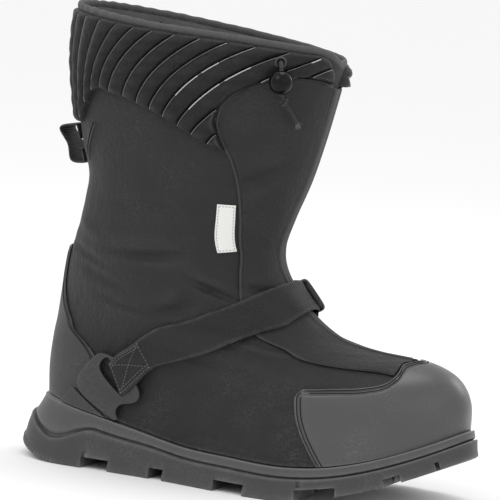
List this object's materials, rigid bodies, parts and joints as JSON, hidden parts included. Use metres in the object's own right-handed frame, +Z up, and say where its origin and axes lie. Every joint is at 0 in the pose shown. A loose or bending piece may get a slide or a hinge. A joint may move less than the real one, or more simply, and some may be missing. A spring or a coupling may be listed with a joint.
{
  "type": "winter overshoe",
  "caption": "Tall insulated pull-on overshoe for the right foot: nylon shaft with quilted padded cuff and drawcord, rubber toe cap, instep strap and lugged sole.",
  "frame": {"origin": "on the floor under the middle of the heel, on the heel's rest face", "axes": "+X towards the toe, +Y towards the inner side of the foot, +Z up"},
  "size_m": [0.347, 0.1379, 0.3368],
  "materials": {
    "sole_rubber": "fine matt grain",
    "smooth_rubber": "satin, slightly scuffed",
    "grained_rubber": "leather grain",
    "nylon": "coated plain weave",
    "quilted_nylon": "coated plain weave over padding",
    "webbing": "ribbed webbing and cord",
    "insole_felt": "felt",
    "gloss_plastic": "glossy",
    "label_cloth": "bare woven cloth",
    "eyelet_metal": "dark satin"
  },
  "bodies": {
    "root": {"outsole": "sole_rubber", "midsole": "sole_rubber", "insole": "insole_felt", "upper": "nylon", "cuff": "quilted_nylon", "rim_binding": "webbing", "toe_cap": "smooth_rubber", "heel_counter": "grained_rubber", "heel_wedge_lateral": "smooth_rubber", "heel_wedge_medial": "smooth_rubber", "strap_anchor_lateral": "smooth_rubber", "strap_anchor_medial": "smooth_rubber", "front_panel_lateral": "nylon", "front_panel_medial": "nylon", "closure_fold": "nylon", "instep_strap": "webbing", "strap_buckle": "gloss_plastic", "pull_loop": "webbing", "label": "label_cloth", "cord_eyelet": "eyelet_metal", "drawcord": "webbing", "cord_lock": "gloss_plastic", "cord_knot": "webbing", "cord_tail": "webbing"}
  },
  "joints": []
}
